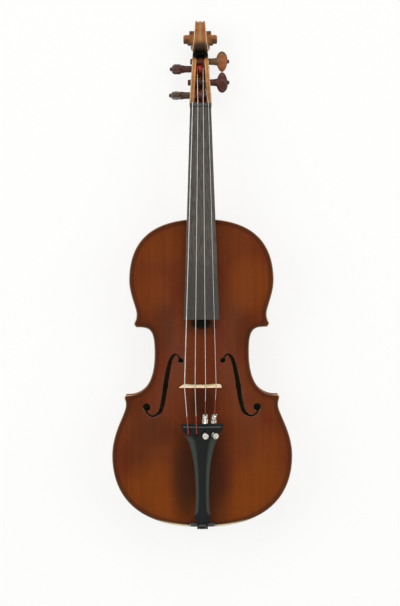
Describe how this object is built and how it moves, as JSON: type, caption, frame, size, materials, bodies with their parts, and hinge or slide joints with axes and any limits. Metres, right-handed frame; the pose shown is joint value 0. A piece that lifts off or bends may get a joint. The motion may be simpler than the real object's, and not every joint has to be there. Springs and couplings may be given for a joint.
{
  "type": "viola",
  "caption": "Viola with an arched body, sound holes, carved scroll, turning tuning pegs and fine tuners set in its tailpiece",
  "frame": {"origin": "centre of the footprint, on the surface that the instrument lies on with its back down", "axes": "+Z towards the strings, +Y towards the scroll, +X the treble side"},
  "size_m": [0.2162, 0.6158, 0.101],
  "materials": {
    "top": "red-brown varnish over spruce, worn to gold",
    "back": "red-brown varnish over maple",
    "ribs": "red-brown varnish over maple",
    "inside": "bare spruce",
    "neck": "golden-brown varnished maple",
    "bridge": "pale bare maple",
    "ebony": "polished black wood",
    "pegs": "polished red-brown wood",
    "strings": "wound metal",
    "gut": "black cord",
    "nickel": "nickel plate"
  },
  "bodies": {
    "instrument": {"top_plate": "top", "back_plate": "back", "lower_rib": "ribs", "neck": "neck", "fingerboard": "ebony", "nut": "ebony", "saddle": "ebony", "end_button": "ebony", "tailpiece": "ebony", "tailpiece_fret": "ebony", "tail_gut": "gut", "bridge": "bridge", "bass_bar": "inside", "sound_post": "inside", "neck_block": "inside", "end_block": "inside", "middle_rib_treble": "ribs", "upper_rib_treble": "ribs", "lower_corner_block_treble": "inside", "upper_corner_block_treble": "inside", "lower_back_lining_treble": "inside", "lower_top_lining_treble": "inside", "middle_back_lining_treble": "inside", "middle_top_lining_treble": "inside", "upper_back_lining_treble": "inside", "upper_top_lining_treble": "inside", "middle_rib_bass": "ribs", "upper_rib_bass": "ribs", "lower_corner_block_bass": "inside", "upper_corner_block_bass": "inside", "lower_back_lining_bass": "inside", "lower_top_lining_bass": "inside", "middle_back_lining_bass": "inside", "middle_top_lining_bass": "inside", "upper_back_lining_bass": "inside", "upper_top_lining_bass": "inside", "string_c": "strings", "string_g": "strings", "string_d": "strings", "string_a": "strings", "tuner_frame_d": "nickel", "tuner_collar_d": "nickel", "tuner_frame_a": "nickel", "tuner_collar_a": "nickel"},
    "peg_c": {"peg_c": "pegs", "winding_c": "strings"},
    "peg_g": {"peg_g": "pegs", "winding_g": "strings"},
    "peg_d": {"peg_d": "pegs", "winding_d": "strings"},
    "peg_a": {"peg_a": "pegs", "winding_a": "strings"},
    "tuner_screw_d": {"tuner_screw_d": "nickel"},
    "tuner_head_d": {"tuner_head_d": "nickel"},
    "tuner_lever_d": {"tuner_lever_d": "nickel", "ball_end_d": "nickel"},
    "tuner_screw_a": {"tuner_screw_a": "nickel"},
    "tuner_head_a": {"tuner_head_a": "nickel"},
    "tuner_lever_a": {"tuner_lever_a": "nickel", "ball_end_a": "nickel"}
  },
  "joints": [
    {"name": "peg_c_turn", "type": "hinge", "parent": "instrument", "child": "peg_c", "pos_m": [0, 0.2168, 0.0295], "axis": [-1, 0, 0], "continuous": true},
    {"name": "peg_g_turn", "type": "hinge", "parent": "instrument", "child": "peg_g", "pos_m": [0, 0.2497, 0.0203], "axis": [-1, 0, 0], "continuous": true},
    {"name": "peg_d_turn", "type": "hinge", "parent": "instrument", "child": "peg_d", "pos_m": [0, 0.2594, 0.0143], "axis": [-1, 0, 0], "continuous": true},
    {"name": "peg_a_turn", "type": "hinge", "parent": "instrument", "child": "peg_a", "pos_m": [0, 0.233, 0.0235], "axis": [-1, 0, 0], "continuous": true},
    {"name": "tuner_d_travel", "type": "slide", "parent": "instrument", "child": "tuner_screw_d", "axis": [-0.0948, 0.1831, -0.9785], "range_m": [0, 0.003]},
    {"name": "tuner_d_turn", "type": "hinge", "parent": "tuner_screw_d", "child": "tuner_head_d", "pos_m": [0.00387, -0.192, 0.0898], "axis": [-0.0948, 0.1831, -0.9785], "range_deg": [0, 2161]},
    {"name": "tuner_d_lever", "type": "hinge", "parent": "instrument", "child": "tuner_lever_d", "pos_m": [0.00332, -0.17423, 0.08725], "axis": [0.9955, 0.0174, -0.0932], "range_deg": [0, 10.2]},
    {"name": "tuner_a_travel", "type": "slide", "parent": "instrument", "child": "tuner_screw_a", "axis": [-0.3765, 0.1704, -0.9106], "range_m": [0, 0.003]},
    {"name": "tuner_a_turn", "type": "hinge", "parent": "tuner_screw_a", "child": "tuner_head_a", "pos_m": [0.01536, -0.19192, 0.08699], "axis": [-0.3765, 0.1704, -0.9106], "range_deg": [0, 2161]},
    {"name": "tuner_a_lever", "type": "hinge", "parent": "instrument", "child": "tuner_lever_a", "pos_m": [0.01317, -0.17422, 0.08484], "axis": [0.9264, 0.0693, -0.37], "range_deg": [0, 10.2]}
  ],
  "couplings": [
    {"joint": "tuner_d_turn", "follows": "tuner_d_travel", "rad_per_m": 12566},
    {"joint": "tuner_d_lever", "follows": "tuner_d_travel", "rad_per_m": 58.824},
    {"joint": "tuner_a_turn", "follows": "tuner_a_travel", "rad_per_m": 12566},
    {"joint": "tuner_a_lever", "follows": "tuner_a_travel", "rad_per_m": 58.824}
  ]
}
